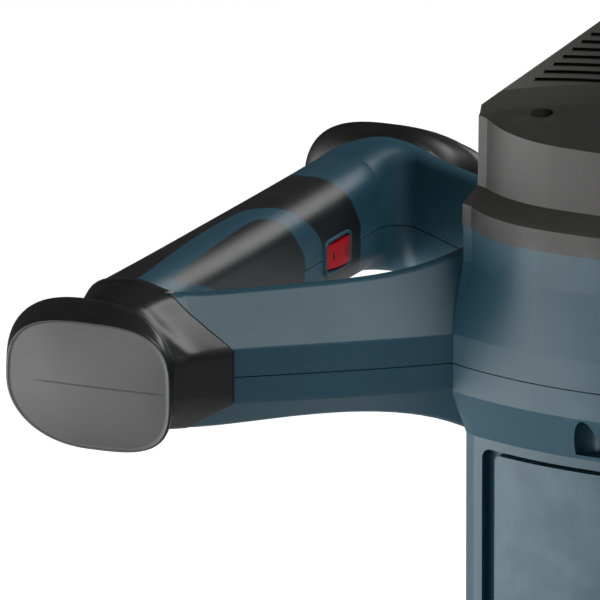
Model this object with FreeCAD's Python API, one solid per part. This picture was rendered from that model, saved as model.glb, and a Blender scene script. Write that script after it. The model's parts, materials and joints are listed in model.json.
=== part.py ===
"""Electric demolition hammer with two closed handle loops, one STEP file per physical piece.

Millimetres. The origin is the centre of the tool socket's mouth, +Z runs up the hammer axis,
X points to the right-hand loop and -Y is the front. The two handle loops are mirror images.
"""
import FreeCAD, Part
import math
import os
from FreeCAD import Vector

# ---- driving dimensions -------------------------------------------------------------------
PARTING_Z = 640.0            # plane where the upper and lower housings meet
PARTING_GAP = 0.5            # visible joint line between the two housings
HOUSING_FOOT_Z = 455.0
CAP_FOOT_Z = PARTING_Z + 62.0
CAP_BAND_Z = PARTING_Z + 80.0
CAP_SHOULDER_Z = PARTING_Z + 108.5
CAP_HIP_Z = PARTING_Z + 117.0
CAP_TOP_Z = PARTING_Z + 150.0
FRONT_RADIUS = 205.0         # bow of the body's front and rear faces
CAP_FRONT_RADIUS = 300.0     # flatter middle of the cap's front and rear faces
CAP_SHOULDER_RADIUS = 70.0   # rounding on both sides of that middle
CAP_MIDDLE_SHARE = 0.48      # part of the half width taken by the flatter middle
COLLAR_HALF = 91.0           # collar round the body where the housings meet
COLLAR_FRONT = 96.0
LOWER_HALF = 85.5
LOWER_FRONT = 88.0
BAND_HALF = 84.3             # level band of the cap
BAND_FRONT = 84.3
SKIRT_HALF = 89.7
SKIRT_FRONT = 93.2
WALL = 5.0
FRONT_WALL = 11.0

GRIP_INNER_X = -215.3        # inner face of the left grip bar
GRIP_WIDTH = 41.4
ARM_THICKNESS = 27.0
ARM_HEADING = math.radians(37.0)
CORNER_RADIUS = 10.0         # inner corner of the hand opening
CORNER_Y = -120.3
ARM_LENGTH = 140.0
BAND_TOP = 13.0
BAND_FOOT = -12.0
BUMPER_Y = 140.0             # where the rubber bumper starts
PAD_Y = 180.0                # flat face the tool lies down on
PAD_X = -223.0
SOFT_SKIN = 3.2
JOINT_DEPTH = 1.8            # depth of the joint line
SIDE_SHARE = 0.95            # part of a section's side that its two roundings may take
GRIP_REAR_Y = 100.0          # rear end of the rubber, which slants forward over the crest

MOTOR_Y = 28.125             # armature axis behind the hammer axis
SPUR_MODULE = 1.25
PINION_TEETH = 9
SPUR_TEETH = 36
BEVEL_MODULE = 2.5
BEVEL_TEETH = 12
CROWN_TEETH = 40
TOOTH_SHARE = 0.40           # tooth thickness as a share of the pitch
SHAFT_RADIUS = 6.0
CRANK_Z = 525.0
CRANK_THROW = 18.0
CRANK_SHAFT_RADIUS = 12.5
ROD_LENGTH = 87.0
BORE_RADIUS = 30.05
PISTON_RADIUS = 29.97
CASE_X = 66.0
CASE_Y = 58.0
CASE_FOOT_Z = 446.0
CASE_TOP_Z = 614.0
BARREL_FOOT_Z = 168.0
BARREL_RADIUS = 42.0
LINER_RADIUS = 34.0
TIE_BOLT_OFFSET = 40.0
NOSE_RADIUS = 39.0
HEX_ACROSS_FLATS = 28.6
RETAINER_Z = 50.0
SWITCH_Y = 74.0

FACETS = {                   # corner facet of the body's outline, sideways and lengthways
    "collar": (2.5, 2.5),
    "lower": (5.5, 3.8),
    "cap": (5.7, 3.1),
    "crown": (5.0, 4.0),
}

UP = Vector(0, 0, 1)
ACROSS_X = Vector(1, 0, 0)
ACROSS_Y = Vector(0, 1, 0)


# ---- small helpers ------------------------------------------------------------------------
def box(x_low, x_high, y_low, y_high, z_low, z_high):
    size = (x_high - x_low, y_high - y_low, z_high - z_low)
    return Part.makeBox(*size, Vector(x_low, y_low, z_low))


def rod(radius, start, end):
    """Cylinder from one point to another."""
    start = Vector(*start)
    axis = Vector(*end) - start
    return Part.makeCylinder(radius, axis.Length, start, axis)


def pipe(outer, inner, start, end):
    return rod(outer, start, end).cut(rod(inner, start, end))


def column(radius, z_low, z_high, x=0.0, y=0.0):
    return rod(radius, (x, y, z_low), (x, y, z_high))


def ring(outer, inner, z_low, z_high, x=0.0, y=0.0):
    return pipe(outer, inner, (x, y, z_low), (x, y, z_high))


def turned(profile, x=0.0, y=0.0):
    """Solid of revolution about a vertical axis from (radius, height) corners."""
    points = [Vector(x + radius, y, z) for radius, z in profile]
    wire = Part.makePolygon(points + points[:1])
    return Part.Face(wire).revolve(Vector(x, y, 0), UP, 360)


def prism(corners, z_low, z_high):
    points = [Vector(x, y, z_low) for x, y in corners]
    face = Part.Face(Part.makePolygon(points + points[:1]))
    return face.extrude(Vector(0, 0, z_high - z_low))


def join(shapes):
    shapes = list(shapes)
    if len(shapes) == 1:
        return shapes[0]
    return shapes[0].multiFuse(shapes[1:])


def mirrored(shape, across):
    """Mirror image in the plane through the origin that is square to the given direction."""
    return shape.mirror(Vector(0, 0, 0), across)


def smooth_loft(sections):
    return Part.makeLoft(sections, True, False)


def both_sides(shape):
    return [shape, mirrored(shape, ACROSS_X)]


def four_ways(shape):
    pair = both_sides(shape)
    return pair + [mirrored(item, ACROSS_Y) for item in pair]


def turn(shape, degrees, centre, axis):
    moved = shape.copy()
    moved.rotate(Vector(*centre), Vector(*axis), degrees)
    return moved


def save(name, *shapes):
    solids = [solid for shape in shapes for solid in shape.Solids]
    whole = solids[0] if len(solids) == 1 else Part.makeCompound(solids)
    whole.exportStep(f"parts/{name}.step")
    print(f"{name}: {len(solids)} solid(s), {whole.Volume / 1000:.1f} cm3, valid {whole.isValid()}")


def fitted_radii(corners, radii):
    """Radii reduced wherever two neighbouring roundings would overlap on their side."""
    count = len(corners)
    points = [Vector(*corner, 0) for corner in corners]
    reach = []
    for i in range(count):
        before = points[i - 1] - points[i]
        after = points[(i + 1) % count] - points[i]
        reach.append(radii[i] / math.tan(before.getAngle(after) / 2))
    fitted = list(radii)
    for i in range(count):
        following = (i + 1) % count
        side = (points[following] - points[i]).Length
        share = min(SIDE_SHARE * side / (reach[i] + reach[following]), 1.0)
        fitted[i] = min(fitted[i], radii[i] * share)
        fitted[following] = min(fitted[following], radii[following] * share)
    return fitted


def rounded_wire(corners, radii, place):
    """Closed wire of straight runs and tangent arcs; place maps (a, b) to a point."""
    radii = fitted_radii(corners, radii)
    count = len(corners)
    cut = []
    for i in range(count):
        here = Vector(*corners[i], 0)
        before = (Vector(*corners[i - 1], 0) - here).normalize()
        after = (Vector(*corners[(i + 1) % count], 0) - here).normalize()
        half = before.getAngle(after) / 2
        reach = radii[i] / math.tan(half)
        middle = (before + after).normalize()
        apex = here + middle * (radii[i] / math.sin(half) - radii[i])
        cut.append((here + before * reach, apex, here + after * reach))
    edges = []
    for i in range(count):
        start, apex, end = (place(p.x, p.y) for p in cut[i])
        edges.append(Part.Arc(start, apex, end).toShape())
        following = place(cut[(i + 1) % count][0].x, cut[(i + 1) % count][0].y)
        edges.append(Part.LineSegment(end, following).toShape())
    return Part.Wire(edges)


def rounded_square(half_x, half_y, radius, z_low, z_high):
    corners = [(-half_x, -half_y), (half_x, -half_y), (half_x, half_y), (-half_x, half_y)]
    wire = rounded_wire(corners, [radius] * 4, lambda a, b: Vector(a, b, z_low))
    return Part.Face(wire).extrude(Vector(0, 0, z_high - z_low))


# ---- body outline -------------------------------------------------------------------------
def bow_points(half_width, front, middle_radius, side_radius):
    """Front face in plan, left half: middle, end of the middle arc, shoulder, outer end."""
    def on_arc(centre, radius, angle):
        return (centre[0] - radius * math.sin(angle), centre[1] - radius * math.cos(angle))

    angle_in = math.asin(CAP_MIDDLE_SHARE * half_width / middle_radius)
    middle_end = on_arc((0.0, middle_radius - front), middle_radius, angle_in)
    centre = (middle_end[0] + side_radius * math.sin(angle_in), middle_end[1] + side_radius * math.cos(angle_in))
    angle_out = math.asin((centre[0] + half_width) / side_radius)
    shoulder = on_arc(centre, side_radius, (angle_in + angle_out) / 2)
    return [(0.0, -front), middle_end, shoulder, on_arc(centre, side_radius, angle_out)]


def body_outline(z, half_width, front, style="collar", shift=0.0):
    """Bowed front and rear, straight sides and a flat facet at each corner."""
    facet_x, facet_y = FACETS[style]
    radii = (CAP_FRONT_RADIUS, CAP_SHOULDER_RADIUS) if style == "cap" else (FRONT_RADIUS, FRONT_RADIUS)
    bow = bow_points(half_width - facet_x, front, *radii)
    side_end = bow[3][1] + facet_y

    def spot(point):
        return Vector(point[0], point[1] + shift, z)

    def line(start, end):
        return Part.LineSegment(spot(start), spot(end)).toShape()

    def arc(start, middle, end):
        return Part.Arc(spot(start), spot(middle), spot(end)).toShape()

    def across(point):
        return (-point[0], point[1])

    edges = []
    for sign in (1, -1):
        middle, middle_end, shoulder, end = [(sign * x, sign * y) for x, y in bow]
        corner = (-sign * half_width, sign * side_end)
        edges.append(line((corner[0], -corner[1]), corner))
        edges.append(line(corner, end))
        edges.append(arc(end, shoulder, middle_end))
        edges.append(arc(middle_end, middle, across(middle_end)))
        edges.append(arc(across(middle_end), across(shoulder), across(end)))
        edges.append(line(across(end), across(corner)))
    return Part.Wire(edges)


def body_loft(levels):
    return Part.makeLoft([body_outline(*level) for level in levels], True, True)


def lower_body(side_inset=0.0, front_inset=0.0):
    return body_loft([
        (HOUSING_FOOT_Z, LOWER_HALF - side_inset, LOWER_FRONT - front_inset, "lower"),
        (PARTING_Z - 34, LOWER_HALF - side_inset, LOWER_FRONT - front_inset, "lower"),
        (PARTING_Z - 13, COLLAR_HALF - side_inset, COLLAR_FRONT - front_inset),
        (PARTING_Z, COLLAR_HALF - side_inset, COLLAR_FRONT - front_inset),
    ])


def upper_body(side_inset=0.0, front_inset=0.0):
    return body_loft([
        (PARTING_Z, COLLAR_HALF - side_inset, COLLAR_FRONT - front_inset),
        (PARTING_Z + 14, COLLAR_HALF - side_inset, COLLAR_FRONT - front_inset),
        (PARTING_Z + 45, SKIRT_HALF - 0.5 - side_inset, SKIRT_FRONT - 0.6 - front_inset, "cap"),
        (CAP_FOOT_Z, SKIRT_HALF - 0.5 - side_inset, SKIRT_FRONT - 0.6 - front_inset, "cap"),
    ])


# ---- handle loop --------------------------------------------------------------------------
def inset_section(corners, radii, inset):
    """Corner list moved inwards by the inset, with radii reduced to match."""
    if inset == 0:
        return corners, radii
    count = len(corners)
    moved = []
    for i in range(count):
        here = Vector(*corners[i], 0)
        before = (here - Vector(*corners[i - 1], 0)).normalize()
        after = (Vector(*corners[(i + 1) % count], 0) - here).normalize()
        normal = Vector(before.y + after.y, -before.x - after.x, 0).normalize()
        reach = inset / math.cos(before.getAngle(after) / 2)
        moved.append((here.x + normal.x * reach, here.y + normal.y * reach))
    return moved, [max(radius - inset, 0.8) for radius in radii]


def loop_section(place, width, crest, foot, blend, inset):
    """One cross-section; blend runs from 0, the oval grip, to 1, the faceted arm."""
    def mix(grip, arm):
        return grip + (arm - grip) * blend

    corners = [
        (0.0, crest),
        (mix(0.745 * width, 7.5), crest),
        (width, mix(14.0, BAND_TOP)),
        (width, mix(-8.0, BAND_FOOT)),
        (mix(0.63 * width, 12.0), foot),
        (0.0, foot),
    ]
    radii = [mix(14, 4), mix(13, 3), mix(19, 2.5), mix(19, 2.5), mix(24, 6), mix(14, 4)]
    corners, radii = inset_section(corners, radii, inset)
    return rounded_wire(corners, radii, place)


def grip_span(inset):
    """Grip bar between the starts of its front and rear corners."""
    front_half = [(CORNER_Y, 33.0), (-85.0, 32.6), (-45.0, 32.4)]
    rear_half = [(-y, crest) for y, crest in reversed(front_half)]
    sections = []
    for y, crest in front_half + [(0.0, 32.4)] + rear_half:
        def place(u, z, y=y):
            return Vector(GRIP_INNER_X - u, y, PARTING_Z + z)
        sections.append(loop_section(place, GRIP_WIDTH, crest, -22.0, 0.0, inset))
    return smooth_loft(sections)


def corner_span(inset):
    """The bend between the grip bar and the arm, about a vertical line."""
    centre_x = GRIP_INNER_X + CORNER_RADIUS
    sweep = math.pi / 2 + ARM_HEADING
    steps = 6
    sections = []
    for i in range(steps + 1):
        share = i / steps
        angle = math.pi + sweep * share
        direction = (math.cos(angle), math.sin(angle))

        def place(u, z, direction=direction):
            reach = CORNER_RADIUS + u
            return Vector(centre_x + direction[0] * reach, CORNER_Y + direction[1] * reach, PARTING_Z + z)
        width = GRIP_WIDTH + (ARM_THICKNESS - GRIP_WIDTH) * share
        crest = 33 + 2 * share + 9 * math.sin(math.pi * share) * (1 - share)
        sections.append(loop_section(place, width, crest, -22 - 5 * share, share, inset))
    return smooth_loft(sections)


def arm_span(inset):
    """Straight arm from the corner into the body; its foot arches in the middle."""
    heading = Vector(math.cos(ARM_HEADING), math.sin(ARM_HEADING), 0)
    outward = Vector(math.sin(ARM_HEADING), -math.cos(ARM_HEADING), 0)
    start = Vector(GRIP_INNER_X + CORNER_RADIUS, CORNER_Y, PARTING_Z)
    stations = (
        # share of the length, crest, foot, step inwards
        (0.0, 35.0, -27.0, 0.0), (0.25, 35.4, -25.4, 0.0), (0.46, 36.4, -24.0, 0.0),
        (0.66, 38.2, -25.4, 0.7), (0.84, 43.0, -31.0, 2.6), (1.0, 52.0, -42.0, 5.0),
    )
    sections = []
    for share, crest, foot, step in stations:
        origin = start + heading * (ARM_LENGTH * share) - outward * step

        def place(u, z, origin=origin):
            return origin + outward * (CORNER_RADIUS + u) + Vector(0, 0, z)
        sections.append(loop_section(place, ARM_THICKNESS, crest, foot, 1.0, inset))
    return smooth_loft(sections)


def front_and_rear(shape):
    return [shape, mirrored(shape, ACROSS_Y)]


def left_loop(inset):
    end = join([corner_span(inset), arm_span(inset)])
    return join([grip_span(inset)] + front_and_rear(end))


# ---- grip skins ---------------------------------------------------------------------------
LEAF_TILT = math.radians(35.0)
LEAF_ORIGIN = Vector(-236.0, 0, PARTING_Z + 2.5)
LEAF_OUTER = [
    (-150, 21), (-94, 21.8), (-60, 23.7), (-29, 24.8), (5, 24.8), (20, 22.6), (30, 15.5), (39, 7.4),
    (48, 0.6), (56.5, -6), (60, -14), (58, -25), (35, -31), (-30, -24), (-85, -8), (-150, 0),
]
LEAF_INNER = [
    (-91, 12.8), (-60, 15.5), (-30, 17), (-2, 17.8), (9, 16.6), (16, 13), (21, 8), (28, 1),
    (36, -6), (39, -13), (36, -20), (20, -24), (-22, -17), (-62, 0),
]


def leaf_prism(outline):
    """Prism through the leaf outline, standing along the tilted direction inwards and up."""
    normal = Vector(math.cos(LEAF_TILT), 0, math.sin(LEAF_TILT))
    across = Vector(-math.sin(LEAF_TILT), 0, math.cos(LEAF_TILT))
    points = [LEAF_ORIGIN + Vector(0, y, 0) + across * t for y, t in outline]
    curve = Part.BSplineCurve()
    curve.interpolate(points, PeriodicFlag=True)
    return Part.Face(Part.Wire([curve.toShape()])).extrude(normal * 60)


def grip_layers():
    """Rubber sleeve and rubber inlay in the left grip bar's skin; its rear end stays bare."""
    outline = [(GRIP_REAR_Y, -80), (GRIP_REAR_Y, 8), (GRIP_REAR_Y - 18, 31), (GRIP_REAR_Y - 18, 80), (200, 80), (200, -80)]
    points = [Vector(-290, y, PARTING_Z + z) for y, z in outline]
    bare_end = Part.Face(Part.makePolygon(points + points[:1])).extrude(Vector(110, 0, 0))
    skin = grip_span(0).cut(grip_span(SOFT_SKIN)).cut(bare_end)
    sleeve = skin.cut(leaf_prism(LEAF_OUTER))
    inlay = skin.common(leaf_prism(LEAF_INNER))
    return sleeve, inlay


def switch_window():
    """Opening in the grip's inner side where the rocker and its frame sit."""
    return box(-245, -205, SWITCH_Y - 13.5, SWITCH_Y + 13.5, PARTING_Z - 7.5, PARTING_Z + 7.5)


def handle_core(sleeve, inlay):
    """Rigid part of the left loop, with its hollows."""
    loop = left_loop(0).cut(sleeve).cut(inlay)
    heading = (math.cos(ARM_HEADING), math.sin(ARM_HEADING))
    outward = (math.sin(ARM_HEADING), -math.cos(ARM_HEADING))
    start = (GRIP_INNER_X + CORNER_RADIUS, CORNER_Y)

    def spot(along, reach):
        return tuple(start[i] + heading[i] * along + outward[i] * reach for i in range(2))
    near, far = CORNER_RADIUS + 5, CORNER_RADIUS + ARM_THICKNESS - 5
    plan = [spot(8, near), spot(8, far), spot(122, far), spot(122, near)]
    hollow = prism(plan, PARTING_Z - 10, PARTING_Z + 12)
    bar_hollow = box(-249, -223, -112, 112, PARTING_Z - 12, PARTING_Z + 20)
    loop = loop.cut(bar_hollow)
    for item in front_and_rear(hollow):
        loop = loop.cut(item)
    return loop.cut(switch_window())


# ---- housings -----------------------------------------------------------------------------
PANEL_HALF = 67.5
PANEL_TOP = PARTING_Z - 40.5
PANEL_FOOT = HOUSING_FOOT_Z + 28
PANEL_GROOVE = 7.5
PANEL_DEPTH = 6.0
SCREW_X = 15.4
SCREW_Y = 88.0
SCREW_POCKET_RADIUS = 7.0
CAP_SCREW_SPOTS = ((-57.0, -49.0), (57.0, -49.0), (-62.0, 50.0), (62.0, 50.0))
CAP_SCREW_POCKET = 5.2
LOUVRES = 7
LOUVRE_PITCH = 2.9


def rounded_window(half, z_low, z_high, radius):
    """Block through the front with rounded corners, seen from the front."""
    corners = [(-half, z_low), (half, z_low), (half, z_high), (-half, z_high)]
    wire = rounded_wire(corners, [radius] * 4, lambda a, b: Vector(a, -120, b))
    return Part.Face(wire).extrude(Vector(0, 60, 0))


def front_panel_slab(half, z_low, z_high, radius):
    """Slab of the front face, as deep as the panel's recess."""
    depth_face = LOWER_FRONT - PANEL_DEPTH
    skin = lower_body().cut(body_loft([
        (HOUSING_FOOT_Z - 1, LOWER_HALF, depth_face, "lower"), (PARTING_Z - 30, LOWER_HALF, depth_face, "lower")]))
    return rounded_window(half, z_low, z_high, radius).common(skin)


def joint_groove(loops):
    """Thin groove all round where the two housings meet."""
    low, high = PARTING_Z - PARTING_GAP / 2, PARTING_Z + PARTING_GAP / 2
    inner_half, inner_front = COLLAR_HALF - JOINT_DEPTH, COLLAR_FRONT - JOINT_DEPTH
    rim = body_loft([(low, COLLAR_HALF, COLLAR_FRONT), (high, COLLAR_HALF, COLLAR_FRONT)])
    rim = rim.cut(body_loft([(low - 1, inner_half, inner_front), (high + 1, inner_half, inner_front)]))
    slab = box(-300, 300, -200, 200, low, high)
    side = loops[0].common(slab).cut(left_loop(JOINT_DEPTH))
    return [rim] + both_sides(side)


def stator_ribs():
    ribs = []
    for x_low, x_high in ((-85, -30), (30, 85)):
        for y in (MOTOR_Y - 22, MOTOR_Y + 18):
            ribs.append(box(x_low, x_high, y, y + 4, PARTING_Z + 25, PARTING_Z + 58))
    return [rib.cut(column(45.0, PARTING_Z, PARTING_Z + 80, 0, MOTOR_Y)) for rib in ribs]


def housings(core):
    """Upper and lower housing, split at the parting plane."""
    cores = both_sides(core)
    hollow_low = lower_body(WALL, FRONT_WALL)
    hollow_high = upper_body(WALL, FRONT_WALL)
    below = box(-300, 300, -200, 200, HOUSING_FOOT_Z - 20, PARTING_Z)
    above = box(-300, 300, -200, 200, PARTING_Z, CAP_TOP_Z)
    beyond = box(-300, 300, -250, -BUMPER_Y, PARTING_Z - 100, PARTING_Z + 100)
    corner_core = bumper_cores()
    lower = lower_body()
    upper = upper_body()
    for loop in cores:
        trimmed = loop
        for end in front_and_rear(beyond):
            trimmed = trimmed.cut(end)
        lower = lower.fuse(trimmed.common(below))
        upper = upper.fuse(trimmed.common(above))
    lower = join([lower] + [block.common(below) for block in corner_core])
    upper = join([upper] + [block.common(above) for block in corner_core])
    lower = lower.cut(hollow_low)
    upper = upper.cut(hollow_high)
    foot_rim = body_loft([(HOUSING_FOOT_Z, 80, 80), (HOUSING_FOOT_Z + 6, 80, 80)])
    foot_rim = foot_rim.cut(box(-CASE_X - 0.4, CASE_X + 0.4, -CASE_Y - 0.4, CASE_Y + 0.4, 400, 500))
    lower = lower.fuse(foot_rim)
    pocket = front_panel_slab(PANEL_HALF + PANEL_GROOVE, PANEL_FOOT - PANEL_GROOVE, PANEL_TOP + 2, 5)
    for item in front_and_rear(pocket):
        lower = lower.cut(item)
    screw_pocket = column(SCREW_POCKET_RADIUS, PARTING_Z - 32, PARTING_Z - 11, -SCREW_X, -SCREW_Y)
    for item in four_ways(screw_pocket):
        lower = lower.cut(item)
    screw_hole = column(2.6, PARTING_Z - 13, PARTING_Z + 12, -SCREW_X, -SCREW_Y)
    for item in four_ways(screw_hole):
        lower = lower.cut(item)
        upper = upper.cut(item)
    upper = join([upper] + [rib.common(above) for rib in stator_ribs()])
    gland_z = PARTING_Z + 36
    upper = upper.cut(rod(8.1, (0, 70, gland_z), (0, 110, gland_z)))
    upper = upper.cut(rod(14.2, (0, 92.4, gland_z), (0, 110, gland_z)))
    for groove in joint_groove([core]):
        lower = lower.cut(groove)
        upper = upper.cut(groove)
    return lower, upper


def bumper_cores():
    """Blocks inside the four rubber bumpers that carry them."""
    block = box(-247, -196, -163, -BUMPER_Y + 4, PARTING_Z - 16, PARTING_Z + 18)
    return four_ways(block)


def bumper():
    """Rubber bumper of the left front corner: neck, rim and flat oval pad."""
    levels = (
        # y, centre x, centre z, half width, half height, power
        (-BUMPER_Y + 0.1, -213.6, 4.8, 44.6, 33.6, 3.0),
        (-BUMPER_Y - 4, -214.5, 4.2, 43.4, 32.2, 3.0),
        (-BUMPER_Y - 9, -221.0, 1.5, 45.5, 31.8, 2.9),
        (-BUMPER_Y - 13, -225.4, 0.2, 47.4, 33.0, 2.8),
        (-BUMPER_Y - 20, -225.2, 0.0, 47.2, 32.8, 2.8),
        (-PAD_Y + 4, -223.8, 0.0, 44.0, 30.6, 2.8),
        (-PAD_Y, PAD_X, 0.0, 42.2, 29.2, 2.8),
    )
    count = 16
    sections = []
    for y, x_mid, z_mid, half_x, half_z, power in levels:
        points = []
        for i in range(count):
            angle = 2 * math.pi * (i + 0.5) / count
            cosine, sine = math.cos(angle), math.sin(angle)
            x = math.copysign(abs(cosine) ** (2 / power), cosine) * half_x
            z = math.copysign(abs(sine) ** (2 / power), sine) * half_z
            cut_away = 0.93 if x < 0 and z < 0 and abs(sine * cosine) > 0.3 else 1.0
            points.append(Vector(x_mid + x * cut_away, y, PARTING_Z + z_mid + z * cut_away))
        curve = Part.BSplineCurve()
        curve.interpolate(points, PeriodicFlag=True)
        sections.append(Part.Wire([curve.toShape()]))
    solid = smooth_loft(sections).common(box(-300, -100, -PAD_Y, -BUMPER_Y - 0.05, 500, 800))
    return solid.cut(bumper_cores()[0])


# ---- top cap ------------------------------------------------------------------------------
def cap_outer(inset=0.0):
    return body_loft([
        (CAP_FOOT_Z, SKIRT_HALF - inset, SKIRT_FRONT - inset, "cap"),
        (CAP_FOOT_Z + 10, SKIRT_HALF - 0.2 - inset, SKIRT_FRONT - 0.2 - inset, "cap"),
        (CAP_BAND_Z, BAND_HALF - inset, BAND_FRONT - inset, "cap"),
        (CAP_HIP_Z, BAND_HALF - 0.4 - inset, BAND_FRONT - 0.4 - inset, "cap"),
        (CAP_TOP_Z - inset, 45 - inset, 52 - inset, "crown", 18.0),
    ])


def lens_wire(z, grow):
    """Plan outline of the front ledge: open to the front, bowed to the rear."""
    left = Vector(-100, -72 + grow, z)
    right = Vector(100, -72 + grow, z)
    bow = Vector(0, -28 + grow, z)
    corners = [Vector(100, -130, z), Vector(-100, -130, z)]
    edges = [
        Part.Arc(left, bow, right).toShape(),
        Part.LineSegment(right, corners[0]).toShape(),
        Part.LineSegment(corners[0], corners[1]).toShape(),
        Part.LineSegment(corners[1], left).toShape(),
    ]
    return Part.Wire(edges)


def ledge_cut(back=0.0):
    """Space in front of the crown: tilted floor, bevelled riser, then the vented slope."""
    floor = CAP_SHOULDER_Z
    foot = lens_wire(floor, back)
    edge = lens_wire(floor + 8, 5 + back)
    top = lens_wire(floor + 50, 60 + back)
    riser = Part.makeLoft([foot, edge], True, True)
    slope = Part.makeLoft([edge, top], True, True)
    return turn(join([riser, slope]), 9.0, (0, -86.5, floor), (1, 0, 0))


def louvre_slots():
    """Level grooves across the crown's front slope and its rear slope."""
    slots = []
    behind = ledge_cut(6.0)
    rear_rind = cap_outer().cut(cap_outer(5.0))
    for i in range(LOUVRES):
        z = CAP_HIP_Z + 9 + LOUVRE_PITCH * i
        reach = BAND_HALF - 10 - (z - CAP_HIP_Z)
        slots.append(behind.common(box(-reach, reach, -90, 60, z, z + LOUVRE_PITCH / 2)))
        slots.append(rear_rind.common(box(-reach + 22, reach - 22, 30, 95, z, z + LOUVRE_PITCH / 2)))
    return slots


def top_cap():
    hollow = cap_outer(4.0).cut(box(-100, 100, -100, 100, CAP_FOOT_Z - 20, CAP_FOOT_Z))
    hollow_foot = body_loft([(CAP_FOOT_Z - 1, 82, 80, "cap"), (CAP_FOOT_Z + 30, 78.5, 78, "cap")])
    shell = cap_outer().cut(ledge_cut())
    inner_ledge = ledge_cut()
    inner_ledge.translate(Vector(0, 5, -4))
    shell = shell.cut(join([hollow, hollow_foot]).cut(inner_ledge))
    posts = [column(8.0, CAP_FOOT_Z + 2, CAP_TOP_Z, x, y) for x, y in CAP_SCREW_SPOTS]
    trim = cap_outer(1.0).cut(ledge_cut())
    shell = join([shell] + [post.common(trim) for post in posts])
    for slot in louvre_slots():
        shell = shell.cut(slot)
    for x, y in CAP_SCREW_SPOTS:
        shell = shell.cut(column(2.6, CAP_FOOT_Z - 5, CAP_TOP_Z, x, y))
        shell = shell.cut(column(CAP_SCREW_POCKET, CAP_SHOULDER_Z - 3, CAP_TOP_Z, x, y))
    return shell


def screw(x, y, z_head, length, head=4.6, point_up=False):
    """Pan-head screw with a hexagon recess; the head's underside is at z_head."""
    sign = 1 if point_up else -1
    shank = column(2.5, min(z_head, z_head + sign * length), max(z_head, z_head + sign * length), x, y)
    outer_face = z_head - sign * 4
    cap = column(head, min(z_head, outer_face), max(z_head, outer_face), x, y)
    recess = hexagon(4.0, min(outer_face, outer_face + sign * 2.2), max(outer_face, outer_face + sign * 2.2), x, y)
    return shank.fuse(cap).cut(recess)


def hexagon(across_flats, z_low, z_high, x=0.0, y=0.0):
    radius = across_flats / math.sqrt(3)
    corners = [(x + radius * math.cos(math.radians(60 * i)), y + radius * math.sin(math.radians(60 * i)))
               for i in range(6)]
    return prism(corners, z_low, z_high)


# ---- small outer parts --------------------------------------------------------------------
def rocker_switch():
    """Curved rocker of the left grip, drawn with its rear end pressed in."""
    face_x = GRIP_INNER_X
    block = box(face_x - 7, face_x + 4, SWITCH_Y - 11.7, SWITCH_Y + 11.7, PARTING_Z - 5.7, PARTING_Z + 5.7)
    crown = rod(30.0, (face_x - 27.5, SWITCH_Y, PARTING_Z - 8), (face_x - 27.5, SWITCH_Y, PARTING_Z + 8))
    rocker = block.common(crown)
    axle = rod(1.6, (face_x - 5, SWITCH_Y, PARTING_Z - 6.6), (face_x - 5, SWITCH_Y, PARTING_Z + 6.6))
    return turn(join([rocker, axle]), -7.0, (face_x - 5, SWITCH_Y, PARTING_Z), (0, 0, 1))


def switch_frame():
    """Housing of the switch, set into the grip's window."""
    face_x = GRIP_INNER_X
    outer = box(face_x - 24, face_x - 0.6, SWITCH_Y - 13.4, SWITCH_Y + 13.4, PARTING_Z - 7.4, PARTING_Z + 7.4)
    space = box(face_x - 12, face_x + 5, SWITCH_Y - 12.4, SWITCH_Y + 12.4, PARTING_Z - 6.0, PARTING_Z + 6.0)
    axle_hole = rod(1.65, (face_x - 5, SWITCH_Y, PARTING_Z - 6.8), (face_x - 5, SWITCH_Y, PARTING_Z + 6.8))
    return outer.cut(space).cut(axle_hole)


def cable_gland():
    z = PARTING_Z + 36
    collar = rod(14.0, (0, 92.5, z), (0, 98, z))
    sleeve = rod(10.5, (0, 98, z), (0, 112, z))
    tail = rod(8.0, (0, 78, z), (0, 92.5, z))
    return join([collar, sleeve, tail]).cut(rod(5.0, (0, 70, z), (0, 120, z)))


def housing_screws():
    z_head = PARTING_Z - 11
    return four_ways(screw(-SCREW_X, -SCREW_Y, z_head, 20.0, point_up=True))


def cap_screws():
    return [screw(x, y, CAP_SHOULDER_Z - 3, 40.0) for x, y in CAP_SCREW_SPOTS]


# ---- motor --------------------------------------------------------------------------------
def stator_core():
    low, high = PARTING_Z + 20, PARTING_Z + 94
    yoke = ring(45.0, 39.0, low, high, 0, MOTOR_Y)
    poles = [box(27, 40, MOTOR_Y - 19, MOTOR_Y + 19, low, high)]
    poles.append(mirrored(poles[0], ACROSS_X))
    return join([yoke] + poles).cut(column(27.3, low, high, 0, MOTOR_Y))


def field_windings():
    low, high = PARTING_Z + 20, PARTING_Z + 94
    outer = box(29.5, 38, MOTOR_Y - 25, MOTOR_Y + 25, low - 5, high + 5)
    coil = outer.cut(box(26, 40, MOTOR_Y - 19, MOTOR_Y + 19, low, high))
    coil = coil.common(column(38.9, low - 6, high + 6, 0, MOTOR_Y))
    return both_sides(coil.cut(column(28.5, low - 6, high + 6, 0, MOTOR_Y)))


def spur_outline(teeth, module, share, phase, addendum=0.8, dedendum=1.15):
    """Corners of a gear with straight-flanked teeth; phase turns it, in degrees."""
    pitch = module * teeth / 2
    corners = []
    for i in range(teeth):
        middle = 2 * math.pi * i / teeth + math.radians(phase)
        half_pitch = math.pi * share / teeth
        for height, side in ((-dedendum, -1), (addendum, -1), (addendum, 1), (-dedendum, 1)):
            radius = pitch + height * module
            half = half_pitch - math.tan(math.radians(20)) * height * module / radius
            angle = middle + side * half
            corners.append((radius * math.cos(angle), radius * math.sin(angle)))
    return corners


def spur_gear(teeth, phase, z_low, z_high, x, y):
    corners = spur_outline(teeth, SPUR_MODULE, TOOTH_SHARE, phase)
    return prism([(x + a, y + b) for a, b in corners], z_low, z_high)


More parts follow.
